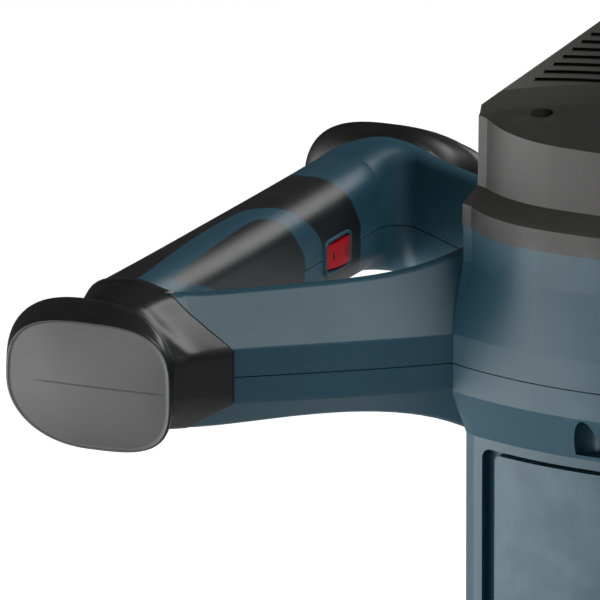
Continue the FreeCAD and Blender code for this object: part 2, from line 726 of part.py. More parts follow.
def armature_shaft():
    """Shaft with the cut pinion at its lower end; a gap of the pinion faces forward."""
    gap_phase = -90 + 180 / PINION_TEETH
    pinion = spur_gear(PINION_TEETH, gap_phase, 600, 612, 0, MOTOR_Y)
    return join([pinion, column(SHAFT_RADIUS, 612, 778, 0, MOTOR_Y), column(4.0, 597, 600, 0, MOTOR_Y)])


def armature_core():
    """Laminated core with twelve winding slots."""
    core = ring(26.0, SHAFT_RADIUS, 662, 732, 0, MOTOR_Y)
    for i in range(12):
        slot = box(18.5, 27, -1.2, 1.2, 661, 733)
        slot.translate(Vector(0, MOTOR_Y, 0))
        core = core.cut(turn(slot, 30.0 * i, (0, MOTOR_Y, 0), (0, 0, 1)))
    return core


def armature_windings():
    profile = [(SHAFT_RADIUS + 1, 0), (22, 0), (24, 2.5), (24, 6), (20, 9), (SHAFT_RADIUS + 1, 9)]
    top = turned([(r, 732 + h) for r, h in profile], 0, MOTOR_Y)
    bottom = turned([(r, 662 - h * 0.85) for r, h in profile], 0, MOTOR_Y)
    return [top, bottom]


def commutator():
    body = ring(17.0, SHAFT_RADIUS, 742, 762, 0, MOTOR_Y)
    for i in range(24):
        groove = box(15.8, 18, -0.3, 0.3, 744, 763)
        groove.translate(Vector(0, MOTOR_Y, 0))
        body = body.cut(turn(groove, 15.0 * i, (0, MOTOR_Y, 0), (0, 0, 1)))
    return body


def cooling_fan():
    hub = ring(11.0, SHAFT_RADIUS, 636, 652, 0, MOTOR_Y)
    disc = ring(39.0, 11.0, 636, 638.5, 0, MOTOR_Y)
    blades = []
    for i in range(9):
        blade = box(10.5, 38, -1.0, 1.0, 638, 651)
        blade.translate(Vector(0, MOTOR_Y, 0))
        blades.append(turn(blade, 40.0 * i, (0, MOTOR_Y, 0), (0, 0, 1)))
    return join([hub, disc] + blades)


def brush_parts():
    """Carbon brushes, their springs' cups and the holders, left and right of the commutator."""
    z_mid = 752.0
    brush = box(17.3, 31, MOTOR_Y - 3.4, MOTOR_Y + 3.4, z_mid - 5, z_mid + 5)
    holder = box(20, 44, MOTOR_Y - 5.5, MOTOR_Y + 5.5, z_mid - 7, z_mid + 7)
    holder = holder.cut(box(19, 41, MOTOR_Y - 3.5, MOTOR_Y + 3.5, z_mid - 5.1, z_mid + 5.1))
    spring = pipe(3.0, 2.2, (31, MOTOR_Y, z_mid), (41, MOTOR_Y, z_mid))
    return both_sides(brush), both_sides(holder), both_sides(spring)


def bearing(inner, outer, z_low, z_high, x=0.0, y=0.0):
    """Sealed ball bearing drawn as one ring with a shallow shield groove each side."""
    body = ring(outer, inner, z_low, z_high, x, y)
    middle = (inner + outer) / 2
    for z in (z_low, z_high - 0.6):
        body = body.cut(ring(middle + 1.6, middle - 1.6, z, z + 0.6, x, y))
    return body


def brush_plate():
    """Insulating plate that carries the brush holders and the upper bearing."""
    plate = column(44.0, 740, 743, 0, MOTOR_Y).cut(column(27.5, 739, 744, 0, MOTOR_Y))
    bridge = [box(29, 43, MOTOR_Y - 8, MOTOR_Y + 8, 743, 745)]
    bridge.append(mirrored(bridge[0], ACROSS_X))
    posts = [column(3.5, 742, 768, x, MOTOR_Y + 22) for x in (-20.0, 20.0)]
    posts += [column(3.5, 742, 768, x, MOTOR_Y - 22) for x in (-20.0, 20.0)]
    spider = [box(-23.5, 23.5, MOTOR_Y - 25.5, MOTOR_Y + 25.5, 768, 772)]
    seat = column(15.5, 764, 776, 0, MOTOR_Y)
    whole = join([plate] + bridge + posts + spider + [seat])
    return whole.cut(column(13.0, 768, 778, 0, MOTOR_Y)).cut(column(9, 760, 770, 0, MOTOR_Y))


# ---- gear train ---------------------------------------------------------------------------
def intermediate_shaft():
    return column(SHAFT_RADIUS, 560, 627)


def intermediate_gear():
    """Spur wheel; one tooth faces the armature pinion."""
    gear = spur_gear(SPUR_TEETH, 90.0, 600, 612, 0, 0)
    return gear.cut(column(SHAFT_RADIUS, 599, 613))


def bevel_pinion():
    """Straight bevel pinion; its flanks all run to the apex on the crank axis."""
    reach = BEVEL_MODULE * CROWN_TEETH / 2
    scale = 0.75
    corners = spur_outline(BEVEL_TEETH, BEVEL_MODULE, TOOTH_SHARE, 90.0, 0.7, 1.1)
    wires = []
    for factor in (1.0, scale):
        z = CRANK_Z + reach * factor
        points = [Vector(x * factor, y * factor, z) for x, y in corners]
        wires.append(Part.makePolygon(points + points[:1]))
    body = Part.makeLoft(wires, True, True)
    return body.cut(column(SHAFT_RADIUS, 550, 590))


def crown_tooth(share):
    """One tooth as a frustum between the large end and its copy scaled to the apex."""
    radius = BEVEL_MODULE * CROWN_TEETH / 2
    depth = BEVEL_MODULE * BEVEL_TEETH / 2
    cone = math.atan(radius / depth)
    up_tooth = Vector(0, -math.sin(cone), math.cos(cone))
    base = Vector(0, depth, radius)
    pitch_half = math.pi * BEVEL_MODULE * share / 2
    corners = []
    for height, side in ((-1.3, -1), (0.7, -1), (0.7, 1), (-1.3, 1)):
        half = pitch_half - math.tan(math.radians(20)) * height * BEVEL_MODULE
        corners.append(base + up_tooth * (height * BEVEL_MODULE) + Vector(side * half, 0, 0))
    wires = []
    for factor in (1.0, 0.75):
        points = [point * factor for point in corners]
        wires.append(Part.makePolygon(points + points[:1]))
    tooth = Part.makeLoft(wires, True, True)
    tooth.translate(Vector(0, 0, CRANK_Z))
    return tooth


def crown_wheel():
    """Crown wheel on the crankshaft; a gap faces the bevel pinion above."""
    profile = [
        (CRANK_SHAFT_RADIUS, 10.0), (33.0, 10.0), (36.0, 12.9), (49.2, 17.6), (51.0, 18.4),
        (51.0, 24.0), (CRANK_SHAFT_RADIUS, 24.0),
    ]
    points = [Vector(r, y, CRANK_Z) for r, y in profile]
    blank = Part.Face(Part.makePolygon(points + points[:1]))
    blank = blank.revolve(Vector(0, 0, CRANK_Z), Vector(0, 1, 0), 360)
    teeth = []
    for i in range(CROWN_TEETH):
        angle = 360.0 * (i + 0.5) / CROWN_TEETH
        teeth.append(turn(crown_tooth(TOOTH_SHARE), angle, (0, 0, CRANK_Z), (0, 1, 0)))
    return join([blank] + teeth)


def crankshaft():
    shaft = rod(CRANK_SHAFT_RADIUS, (0, 10, CRANK_Z), (0, 70, CRANK_Z))
    return shaft


def crank_pin():
    z = CRANK_Z - CRANK_THROW
    return rod(6.0, (0, -9, z), (0, 9.7, z))


def connecting_rod():
    z_big = CRANK_Z - CRANK_THROW
    z_small = z_big - ROD_LENGTH
    big = pipe(13.0, 6.05, (0, -9, z_big), (0, 9, z_big))
    small = pipe(11.0, 7.05, (0, -8, z_small), (0, 8, z_small))
    web = box(-6, 6, -5, 5, z_small + 9, z_big - 11)
    return join([big.cut(rod(6.05, (0, -10, z_big), (0, 10, z_big))), small, web])


def crank_bearings():
    pieces = []
    for y in (27.5, 55.5):
        body = pipe(26.0, CRANK_SHAFT_RADIUS, (0, y, CRANK_Z), (0, y + 13, CRANK_Z))
        groove = pipe(21.0, 17.0, (0, y, CRANK_Z), (0, y + 0.6, CRANK_Z))
        pieces.append(body.cut(groove))
    return pieces


def gear_housing():
    """Cast case round the gears; the crank cavity opens to the front under a cover."""
    case = rounded_square(CASE_X, CASE_Y, 8, CASE_FOOT_Z, CASE_TOP_Z)
    rear_boss = rod(34, (0, CASE_Y - 1, CRANK_Z), (0, 73.8, CRANK_Z))
    case = join([case, rear_boss])
    cavity = box(-57, 57, -CASE_Y - 1, 25.5, 464, 578)
    seats = rod(26.0, (0, 25, CRANK_Z), (0, 71, CRANK_Z))
    case = case.cut(cavity).cut(seats).cut(column(31.2, CASE_FOOT_Z - 1, 474))
    for sign in (-1, 1):
        low, high = sorted((sign * 35.0, sign * 58.0))
        case = case.cut(box(low, high, 33, CASE_Y + 1, 472, 574))
    case = case.cut(column(16.0, 577, 594)).cut(column(9.0, 593, 597))
    chamber = join([column(27.0, 597, CASE_TOP_Z + 1), column(10.0, 597, CASE_TOP_Z + 1, 0, MOTOR_Y)])
    case = case.cut(chamber).cut(column(5.0, 595, 600, 0, MOTOR_Y))
    for x in (-TIE_BOLT_OFFSET, TIE_BOLT_OFFSET):
        for y in (-TIE_BOLT_OFFSET, TIE_BOLT_OFFSET):
            case = case.cut(column(5.0, CASE_FOOT_Z - 1, 461, x, y))
    return case


def gear_cover():
    cover = box(-62, 62, -CASE_Y - 6, -CASE_Y, 461.5, 583)
    return cover.cut(box(-50, 50, -CASE_Y - 4, -CASE_Y + 1, 471, 571)).fuse(
        box(-50, 50, -CASE_Y - 4, -CASE_Y - 1, 519, 525))


def gear_cover_screws():
    pieces = []
    for x in (-58.5, 58.5):
        for z in (466, 521, 579):
            head = rod(3.4, (x, -CASE_Y - 9, z), (x, -CASE_Y - 6, z))
            pieces.append(head)
    return pieces


def bearing_plate():
    """Plate on top of the gear case that holds the two shafts' bearings."""
    plate = rounded_square(CASE_X, CASE_Y, 8, CASE_TOP_Z, 622)
    tower = column(18.0, 622, 631, 0, MOTOR_Y)
    plate = join([plate, tower])
    plate = plate.cut(column(13.0, CASE_TOP_Z + 2, 626)).cut(column(8.0, CASE_TOP_Z - 1, 617))
    plate = plate.cut(column(13.0, 618, 632, 0, MOTOR_Y)).cut(column(8.0, CASE_TOP_Z - 1, 619, 0, MOTOR_Y))
    return plate


# ---- hammer mechanism ---------------------------------------------------------------------
def cylinder_liner():
    return ring(LINER_RADIUS, BORE_RADIUS, 236, CASE_FOOT_Z)


def piston():
    low = 385.0
    high = 435.0
    body = column(PISTON_RADIUS, low, high)
    pocket = box(-16, 16, -9.5, 9.5, low + 12, high + 1)
    side_room = box(-22, 22, -9.5, 9.5, high - 11, high + 1)
    body = body.cut(pocket).cut(side_room)
    wrist_z = CRANK_Z - CRANK_THROW - ROD_LENGTH
    body = body.cut(rod(7.0, (0, -26, wrist_z), (0, 26, wrist_z)))
    return body.cut(ring(PISTON_RADIUS + 1, PISTON_RADIUS - 2.5, low + 6, low + 9))


def wrist_pin():
    wrist_z = CRANK_Z - CRANK_THROW - ROD_LENGTH
    return rod(7.0, (0, -26, wrist_z), (0, 26, wrist_z))


def piston_ring():
    return ring(PISTON_RADIUS, PISTON_RADIUS - 2.5, 391, 394)


def ram():
    body = column(PISTON_RADIUS, 243, 333).cut(ring(PISTON_RADIUS + 1, PISTON_RADIUS - 2.5, 321, 324))
    return body.cut(column(14.0, 300, 334))


def ram_ring():
    return ring(PISTON_RADIUS, PISTON_RADIUS - 2.5, 321, 324)


def beatpiece():
    return turned([(0, 152), (13, 152), (15, 154), (15, 170), (24, 173), (24, 200), (18, 203), (18, 230),
                   (16, 232), (0, 232)])


def anvil_guide():
    return ring(LINER_RADIUS, 18.06, 213, 236)


def barrel():
    return turned([(24.1, BARREL_FOOT_Z), (BARREL_RADIUS + 4, BARREL_FOOT_Z), (BARREL_RADIUS + 4, 184),
                   (BARREL_RADIUS, 188), (BARREL_RADIUS, 430), (BARREL_RADIUS + 4, 434),
                   (BARREL_RADIUS + 4, CASE_FOOT_Z), (LINER_RADIUS, CASE_FOOT_Z), (LINER_RADIUS, 213),
                   (24.1, 213)])


def tie_bolts():
    pieces = []
    for x in (-TIE_BOLT_OFFSET, TIE_BOLT_OFFSET):
        for y in (-TIE_BOLT_OFFSET, TIE_BOLT_OFFSET):
            shank = column(5.0, 150, 461, x, y)
            head = column(8.5, 140, 150, x, y).cut(hexagon(8.0, 139, 145, x, y))
            pieces.append(shank.fuse(head))
    return pieces


def barrel_guard():
    """Ribbed plastic sleeve over the barrel and its bolts."""
    outer = rounded_square(56, 56, 20, 176, 440)
    for i in range(11):
        z = 196 + 22 * i
        groove = rounded_square(60, 60, 20, z, z + 5).cut(rounded_square(54.5, 54.5, 19, z, z + 5))
        outer = outer.cut(groove)
    return outer.cut(rounded_square(51, 51, 15, 170, 450))


def damping_rings():
    low = rounded_square(54, 54, 18, BARREL_FOOT_Z, 176).cut(rounded_square(49.5, 49.5, 14, 160, 180))
    high = rounded_square(54, 54, 18, 440, CASE_FOOT_Z).cut(rounded_square(49.5, 49.5, 14, 430, 450))
    return [low, high]


# ---- tool holder --------------------------------------------------------------------------
def tool_holder():
    nose = turned([(26.05, 0), (34, 0), (NOSE_RADIUS, 6), (NOSE_RADIUS, 150), (26.05, 150)])
    flange = rounded_square(54, 54, 18, 150, BARREL_FOOT_Z).cut(column(15.06, 149, 169))
    bosses = [rod(14.0, (30, 0, RETAINER_Z), (40, 0, RETAINER_Z))]
    bosses = both_sides(bosses[0].cut(column(28, 0, 100)))
    whole = join([nose, flange] + bosses)
    for x in (-TIE_BOLT_OFFSET, TIE_BOLT_OFFSET):
        for y in (-TIE_BOLT_OFFSET, TIE_BOLT_OFFSET):
            whole = whole.cut(column(5.0, 149, 169, x, y))
    whole = whole.cut(ring(18.0, 15.0, 157, 161))
    return whole.cut(rod(6.0, (-41, 0, RETAINER_Z), (41, 0, RETAINER_Z)))


def hex_bush():
    return column(26.05, 2, 150).cut(hexagon(HEX_ACROSS_FLATS, 0, 151))


def beatpiece_seal():
    return ring(18.0, 15.1, 157, 161)


def retainer():
    """Swinging yoke that keeps the tool's collar in; its slot opens forward."""
    arm = join([box(40.4, 48.4, -9, 9, -48, RETAINER_Z), rod(13, (40.4, 0, RETAINER_Z), (48.4, 0, RETAINER_Z))])
    arm = arm.cut(rod(6.06, (39, 0, RETAINER_Z), (50, 0, RETAINER_Z)))
    plate = rounded_square(48.4, 19, 6, -48, -38)
    plate.translate(Vector(0, 5, 0))
    whole = join(both_sides(arm) + [plate])
    return whole.cut(column(17, -60, -30)).cut(box(-17, 17, -40, 0, -60, -30))


def retainer_pins():
    pin = rod(6.0, (26.5, 0, RETAINER_Z), (50.4, 0, RETAINER_Z))
    head = rod(9.0, (48.8, 0, RETAINER_Z), (52.4, 0, RETAINER_Z))
    return both_sides(pin.fuse(head).cut(column(26.2, 20, 80)))


# ---- write every node ---------------------------------------------------------------------
def write_housings():
    sleeve, inlay = grip_layers()
    core = handle_core(sleeve, inlay)
    sleeve = sleeve.cut(switch_window())
    lower, upper = housings(core)
    save("lower_housing", lower)
    save("upper_housing", upper)
    save("left_grip", sleeve)
    save("right_grip", mirrored(sleeve, ACROSS_X))
    save("left_grip_inlay", inlay)
    save("right_grip_inlay", mirrored(inlay, ACROSS_X))
    corner = bumper()
    names = ("left_front_bumper", "right_front_bumper", "left_rear_bumper", "right_rear_bumper")
    for name, shape in zip(names, four_ways(corner)):
        save(name, shape)
    panel = front_panel_slab(PANEL_HALF, PANEL_FOOT, PANEL_TOP, 3)
    save("front_panel", panel)
    save("rear_panel", mirrored(panel, ACROSS_Y))
    save("housing_screws", *housing_screws())


def write_cap_and_switch():
    save("top_cap", top_cap())
    save("cap_screws", *cap_screws())
    save("cable_gland", cable_gland())
    save("rocker_switch", rocker_switch())
    save("switch_module", switch_frame())


def write_motor():
    save("stator_core", stator_core())
    save("field_windings", *field_windings())
    save("armature_shaft", armature_shaft())
    save("armature_core", armature_core())
    save("armature_windings", *armature_windings())
    save("commutator", commutator())
    save("cooling_fan", cooling_fan())
    brushes, holders, springs = brush_parts()
    save("carbon_brushes", *brushes)
    save("brush_holders", *holders)
    save("brush_springs", *springs)
    save("brush_plate", brush_plate())
    upper = bearing(SHAFT_RADIUS, 13.0, 768, 778, 0, MOTOR_Y)
    lower = bearing(SHAFT_RADIUS, 13.0, 619, 631, 0, MOTOR_Y)
    save("armature_bearings", upper, lower)


def write_gears():
    save("gear_housing", gear_housing())
    save("gear_cover", gear_cover())
    save("gear_cover_screws", *gear_cover_screws())
    save("bearing_plate", bearing_plate())
    save("intermediate_shaft", intermediate_shaft())
    save("intermediate_gear", intermediate_gear())
    save("bevel_pinion", bevel_pinion())
    save("intermediate_bearings", bearing(SHAFT_RADIUS, 16.0, 580, 594), bearing(SHAFT_RADIUS, 13.0, 617, 626))
    save("crown_wheel", crown_wheel())
    save("crankshaft", crankshaft())
    save("crank_bearings", *crank_bearings())
    save("crank_pin", crank_pin())
    save("connecting_rod", connecting_rod())


def write_hammer():
    save("wrist_pin", wrist_pin())
    save("piston", piston())
    save("piston_ring", piston_ring())
    save("cylinder", cylinder_liner())
    save("ram", ram())
    save("ram_ring", ram_ring())
    save("beatpiece", beatpiece())
    save("anvil_guide", anvil_guide())
    save("barrel", barrel())
    save("barrel_guard", barrel_guard())
    save("damping_rings", *damping_rings())
    save("tie_bolts", *tie_bolts())


def write_tool_holder():
    save("tool_holder", tool_holder())
    save("hex_bush", hex_bush())
    save("beatpiece_seal", beatpiece_seal())
    save("retainer", retainer())
    save("retainer_pins", *retainer_pins())


os.makedirs("parts", exist_ok=True)
write_housings()
write_cap_and_switch()
write_motor()
write_gears()
write_hammer()
write_tool_holder()
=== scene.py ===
"""Looks of the electric demolition hammer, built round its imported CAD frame. Metres."""
import json
import math

import bmesh
import bpy
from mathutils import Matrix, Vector
from mathutils.bvhtree import BVHTree


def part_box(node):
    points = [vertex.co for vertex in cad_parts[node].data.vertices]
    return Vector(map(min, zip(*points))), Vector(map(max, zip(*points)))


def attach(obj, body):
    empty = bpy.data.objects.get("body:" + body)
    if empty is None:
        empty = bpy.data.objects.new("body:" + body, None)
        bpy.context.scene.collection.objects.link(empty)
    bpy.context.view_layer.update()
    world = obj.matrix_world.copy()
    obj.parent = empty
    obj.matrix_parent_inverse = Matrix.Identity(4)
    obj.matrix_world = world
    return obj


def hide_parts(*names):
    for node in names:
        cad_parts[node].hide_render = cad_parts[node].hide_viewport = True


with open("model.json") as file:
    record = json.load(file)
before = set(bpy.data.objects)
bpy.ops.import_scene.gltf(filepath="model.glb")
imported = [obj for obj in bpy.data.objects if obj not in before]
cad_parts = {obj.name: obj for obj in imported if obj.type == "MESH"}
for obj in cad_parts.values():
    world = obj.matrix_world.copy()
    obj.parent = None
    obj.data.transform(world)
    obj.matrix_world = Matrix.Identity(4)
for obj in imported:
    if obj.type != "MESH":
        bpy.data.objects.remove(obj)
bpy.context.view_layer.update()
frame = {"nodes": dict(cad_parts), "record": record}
NODES = frame["nodes"]

# ---- places read from the frame ------------------------------------------------------------
PARTING_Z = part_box("lower_housing")[1][2]
FLOOR_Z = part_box("retainer")[0][2] - 0.0005
MM = 0.001


# ---- camera and studio ---------------------------------------------------------------------
CAMERA_AZIMUTH = math.radians(24.8)
CAMERA_ELEVATION = math.radians(15.5)
CAMERA_DISTANCE = 9.0
CAMERA_LENS = 1188.0         # mm
CAMERA_SENSOR = 36.0
CAMERA_CLIP_END = 50.0
AIM = Vector((-0.1671, -0.0712, PARTING_Z + 0.0195))
FLOOR_HALF = 14.0
WORLD_STRENGTH = 0.05
LIGHTS = (
    # name, azimuth, elevation, distance, size, power
    ("low_front_card", -52.0, -11.0, 2.1, (2.6, 0.62), 40.0),
    ("front_fill", 20.0, 20.0, 2.8, (1.2, 1.0), 5.0),
    ("top_right_light", 78.0, 62.0, 2.3, (1.3, 0.9), 34.0),
    ("rear_light", 160.0, 18.0, 2.8, (1.8, 1.4), 26.0),
)


def direction(azimuth, elevation):
    """Unit vector from the object towards a viewer at that azimuth and elevation."""
    flat = math.cos(elevation)
    return Vector((math.sin(azimuth) * flat, -math.cos(azimuth) * flat, math.sin(elevation)))


def make_camera():
    data = bpy.data.cameras.new("camera")
    data.lens = CAMERA_LENS
    data.sensor_width = CAMERA_SENSOR
    data.clip_end = CAMERA_CLIP_END
    camera = bpy.data.objects.new("camera", data)
    bpy.context.scene.collection.objects.link(camera)
    view = direction(CAMERA_AZIMUTH, CAMERA_ELEVATION)
    camera.location = AIM + view * CAMERA_DISTANCE
    camera.rotation_euler = (-view).to_track_quat("-Z", "Y").to_euler()
    bpy.context.scene.camera = camera


def area_light(name, azimuth, elevation, distance, size, power):
    """Soft rectangular light aimed at the body; angles in degrees."""
    data = bpy.data.lights.new(name, "AREA")
    data.shape = "RECTANGLE"
    data.size, data.size_y = size
    data.energy = power
    light = bpy.data.objects.new(name, data)
    bpy.context.scene.collection.objects.link(light)
    target = Vector((0.0, 0.0, PARTING_Z))
    view = direction(math.radians(azimuth), math.radians(elevation))
    light.location = target + view * distance
    light.rotation_euler = (-view).to_track_quat("-Z", "Y").to_euler()


def make_studio():
    for light in LIGHTS:
        area_light(*light)
    world = bpy.data.worlds.new("studio")
    world.use_nodes = True
    background = world.node_tree.nodes["Background"]
    background.inputs["Color"].default_value = (1.0, 1.0, 1.0, 1.0)
    background.inputs["Strength"].default_value = WORLD_STRENGTH
    bpy.context.scene.world = world
    bpy.context.scene.view_settings.view_transform = "Standard"

    mesh = bpy.data.meshes.new("floor")
    outline = ((-1, -1), (1, -1), (1, 1), (-1, 1))
    corners = [(x * FLOOR_HALF, y * FLOOR_HALF, FLOOR_Z) for x, y in outline]
    mesh.from_pydata(corners, [], [(0, 1, 2, 3)])
    floor = bpy.data.objects.new("floor", mesh)
    bpy.context.scene.collection.objects.link(floor)
    floor.data.materials.append(floor_material())


# ---- material helpers ----------------------------------------------------------------------
class Surface:
    """A procedural material with a Principled shader and object-space textures."""

    def __init__(self, name, roughness=0.4, metallic=0.0):
        self.material = bpy.data.materials.new(name)
        self.material.use_nodes = True
        self.tree = self.material.node_tree
        self.shader = self.tree.nodes["Principled BSDF"]
        self.shader.inputs["Roughness"].default_value = roughness
        self.shader.inputs["Metallic"].default_value = metallic
        self.coordinates = self.tree.nodes.new("ShaderNodeTexCoord")
        self.height = None
        self.tone = None

    def node(self, kind, **values):
        item = self.tree.nodes.new(kind)
        for key, value in values.items():
            if key in item.inputs:
                item.inputs[key].default_value = value
            else:
                setattr(item, key, value)
        return item

    def link(self, output, socket):
        self.tree.links.new(output, socket)

    def noise(self, scale, detail=2.0, roughness=0.5, stretch=None):
        item = self.node("ShaderNodeTexNoise", Scale=scale, Detail=detail, Roughness=roughness)
        source = self.coordinates.outputs["Object"]
        if stretch:
            mapping = self.node("ShaderNodeMapping", Scale=stretch)
            self.link(source, mapping.inputs["Vector"])
            source = mapping.outputs["Vector"]
        self.link(source, item.inputs["Vector"])
        return item.outputs["Fac"]

    def ramp(self, value, low, high, out_low, out_high):
        """Maps a value from low..high to out_low..out_high, clamped."""
        item = self.node("ShaderNodeMapRange", **{
            "From Min": low, "From Max": high, "To Min": out_low, "To Max": out_high})
        self.link(value, item.inputs["Value"])
        return item.outputs["Result"]

    def mix_colour(self, factor, first, second):
        item = self.node("ShaderNodeMix", data_type="RGBA")
        for index, colour in ((6, first), (7, second)):
            if isinstance(colour, tuple):
                item.inputs[index].default_value = (*colour, 1.0)
            else:
                self.link(colour, item.inputs[index])
        self.link(factor, item.inputs[0])
        return item.outputs[2]

    def colour(self, output):
        self.link(output, self.shader.inputs["Base Color"])

    def roughness(self, output):
        self.link(output, self.shader.inputs["Roughness"])

    def bump(self, height, distance):
        """Adds a layer of fine relief; distance is its depth in metres."""
        item = self.node("ShaderNodeBump", Strength=1.0, Distance=distance)
        self.link(height, item.inputs["Height"])
        if self.height is not None:
            self.link(self.height, item.inputs["Normal"])
        self.height = item.outputs["Normal"]
        self.link(self.height, self.shader.inputs["Normal"])

    def pointiness(self):
        return self.node("ShaderNodeNewGeometry").outputs["Pointiness"]


def moulded_plastic(name, dark, light, roughness, grain, depth, worn=None, specular=0.5):
    """Spark-eroded moulded plastic: fine grain, cloudy tone and paler rubbed edges."""
    surface = Surface(name, roughness)
    surface.shader.inputs["Specular IOR Level"].default_value = specular
    cloud = surface.ramp(surface.noise(5.0, 2.0), 0.3, 0.7, 0.0, 1.0)
    tone = surface.mix_colour(cloud, dark, light)
    if worn:
        edge = surface.ramp(surface.pointiness(), 0.53, 0.62, 0.0, 1.0)
        patchy = surface.node("ShaderNodeMath", operation="MULTIPLY")
        surface.link(edge, patchy.inputs[0])
        surface.link(surface.ramp(surface.noise(60.0, 4.0), 0.35, 0.7, 0.0, 0.7), patchy.inputs[1])
        tone = surface.mix_colour(patchy.outputs[0], tone, worn)
    surface.colour(tone)
    surface.roughness(surface.ramp(surface.noise(30.0, 4.0), 0.3, 0.7, roughness - 0.01, roughness + 0.01))
    surface.bump(surface.noise(grain, 2.0, 0.6), depth)
    return surface


def rubber(name, tone, roughness, grain, depth):
    """Matt rubber with a fine grain and slightly dusty patches."""
    surface = Surface(name, roughness)
    paler = tuple(channel * 1.7 for channel in tone)
    dusty = surface.ramp(surface.noise(30.0, 5.0), 0.45, 0.75, 0.0, 1.0)
    surface.tone = surface.mix_colour(dusty, tone, paler)
    surface.colour(surface.tone)
    surface.roughness(surface.ramp(surface.noise(24.0, 3.0), 0.3, 0.7, roughness - 0.02, roughness + 0.03))
    surface.bump(surface.noise(grain, 2.0, 0.6), depth)
    return surface


MOULD_LINE = 0.0003                    # the line fades out this far above and below the parting plane
MOULD_LINE_START = (0.184, 0.190)      # and sideways over these distances from the middle
MOULD_LINE_END = (0.243, 0.251)
MOULD_LINE_DEPTH = 0.0001


def mould_line_with_painted_shade(surface, tone):
    """Sinks a hair line where the rubber's two mould halves meet, and darkens it as painted shade in that
    groove.
    """
    parts = surface.node("ShaderNodeSeparateXYZ")
    surface.link(surface.coordinates.outputs["Object"], parts.inputs[0])
    offset = surface.node("ShaderNodeMath", operation="SUBTRACT")
    surface.link(parts.outputs["Z"], offset.inputs[0])
    offset.inputs[1].default_value = PARTING_Z
    distance = surface.node("ShaderNodeMath", operation="ABSOLUTE")
    surface.link(offset.outputs[0], distance.inputs[0])
    sideways = surface.node("ShaderNodeMath", operation="ABSOLUTE")
    surface.link(parts.outputs["X"], sideways.inputs[0])
    spread = surface.node("ShaderNodeMath", operation="MULTIPLY")
    surface.link(surface.ramp(sideways.outputs[0], *MOULD_LINE_START, 0.0, 1.0), spread.inputs[0])
    surface.link(surface.ramp(sideways.outputs[0], *MOULD_LINE_END, 1.0, 0.0), spread.inputs[1])
    near = surface.node("ShaderNodeMath", operation="MULTIPLY")
    surface.link(surface.ramp(distance.outputs[0], MOULD_LINE / 2, MOULD_LINE, 1.0, 0.0), near.inputs[0])
    surface.link(spread.outputs[0], near.inputs[1])
    line = near.outputs[0]
    # the darker tone along the line is painted shade in the groove; the bump below sinks the real line
    surface.colour(surface.mix_colour(line, surface.tone, tone))
    surface.bump(surface.ramp(line, 0.0, 1.0, 1.0, 0.0), MOULD_LINE_DEPTH)
    return surface


def machined_metal(name, tone, roughness):
    """Turned or ground metal: fine lines round the part and slight stains."""
    surface = Surface(name, roughness, metallic=1.0)
    lines = surface.noise(60.0, 3.0, 0.6, stretch=(1.0, 1.0, 30.0))
    stain = surface.ramp(surface.noise(22.0, 4.0), 0.4, 0.75, 0.0, 1.0)
    darker = tuple(channel * 0.72 for channel in tone)
    surface.colour(surface.mix_colour(stain, tone, darker))
    surface.roughness(surface.ramp(lines, 0.3, 0.7, roughness - 0.08, roughness + 0.1))
    surface.bump(lines, 0.00002)
    return surface


def enamelled_metal(name, tone, bare, roughness):
    """Black enamel with orange peel, chipped to bare metal along its edges."""
    surface = Surface(name, roughness)
    edge = surface.ramp(surface.pointiness(), 0.54, 0.6, 0.0, 1.0)
    patchy = surface.node("ShaderNodeMath", operation="MULTIPLY")
    surface.link(edge, patchy.inputs[0])
    surface.link(surface.ramp(surface.noise(90.0, 5.0), 0.42, 0.6, 0.0, 1.0), patchy.inputs[1])
    chipped = patchy.outputs[0]
    surface.colour(surface.mix_colour(chipped, tone, bare))
    surface.link(chipped, surface.shader.inputs["Metallic"])
    surface.roughness(surface.ramp(surface.noise(35.0, 4.0), 0.3, 0.7, roughness - 0.05, roughness + 0.08))
    surface.bump(surface.noise(420.0, 2.0), 0.00004)
    return surface


def cast_metal(name, tone):
    """Sand-cast skin: coarse grain and dull stains."""
    surface = Surface(name, 0.5, metallic=0.9)
    darker = tuple(channel * 0.7 for channel in tone)
    stain = surface.ramp(surface.noise(35.0, 5.0), 0.4, 0.7, 0.0, 1.0)
    surface.colour(surface.mix_colour(stain, tone, darker))
    surface.bump(surface.noise(650.0, 3.0, 0.7), 0.00012)
    return surface


def laminated_metal(name):
    """Stacked sheets: fine level lines up the height."""
    surface = Surface(name, 0.45, metallic=0.9)
    wave = surface.node("ShaderNodeTexWave", Scale=320.0, bands_direction="Z")
    surface.link(surface.coordinates.outputs["Object"], wave.inputs["Vector"])
    surface.colour(surface.mix_colour(wave.outputs["Fac"], (0.10, 0.10, 0.105), (0.28, 0.28, 0.29)))
    surface.bump(wave.outputs["Fac"], 0.00015)
    return surface


def wound_copper(name):
    """Packed enamelled wire: slanting bands of light and dark copper."""
    surface = Surface(name, 0.35, metallic=0.85)
    wave = surface.node("ShaderNodeTexWave", Scale=240.0, Distortion=1.5, bands_direction="DIAGONAL")
    surface.link(surface.coordinates.outputs["Object"], wave.inputs["Vector"])
    surface.colour(surface.mix_colour(wave.outputs["Fac"], (0.28, 0.09, 0.03), (0.62, 0.25, 0.10)))
    surface.bump(wave.outputs["Fac"], 0.0003)
    return surface


def floor_material():
    """Pale floor; the part that the camera sees is lifted to white without lighting the object."""
    surface = Surface("studio_floor", 0.9)
    surface.colour(surface.mix_colour(surface.noise(2.0), (0.80, 0.80, 0.80), (0.82, 0.82, 0.82)))
    surface.shader.inputs["Emission Color"].default_value = (1.0, 1.0, 1.0, 1.0)
    seen = surface.node("ShaderNodeLightPath").outputs["Is Camera Ray"]
    surface.link(surface.ramp(seen, 0.0, 1.0, 0.0, 0.85), surface.shader.inputs["Emission Strength"])
    return surface.material


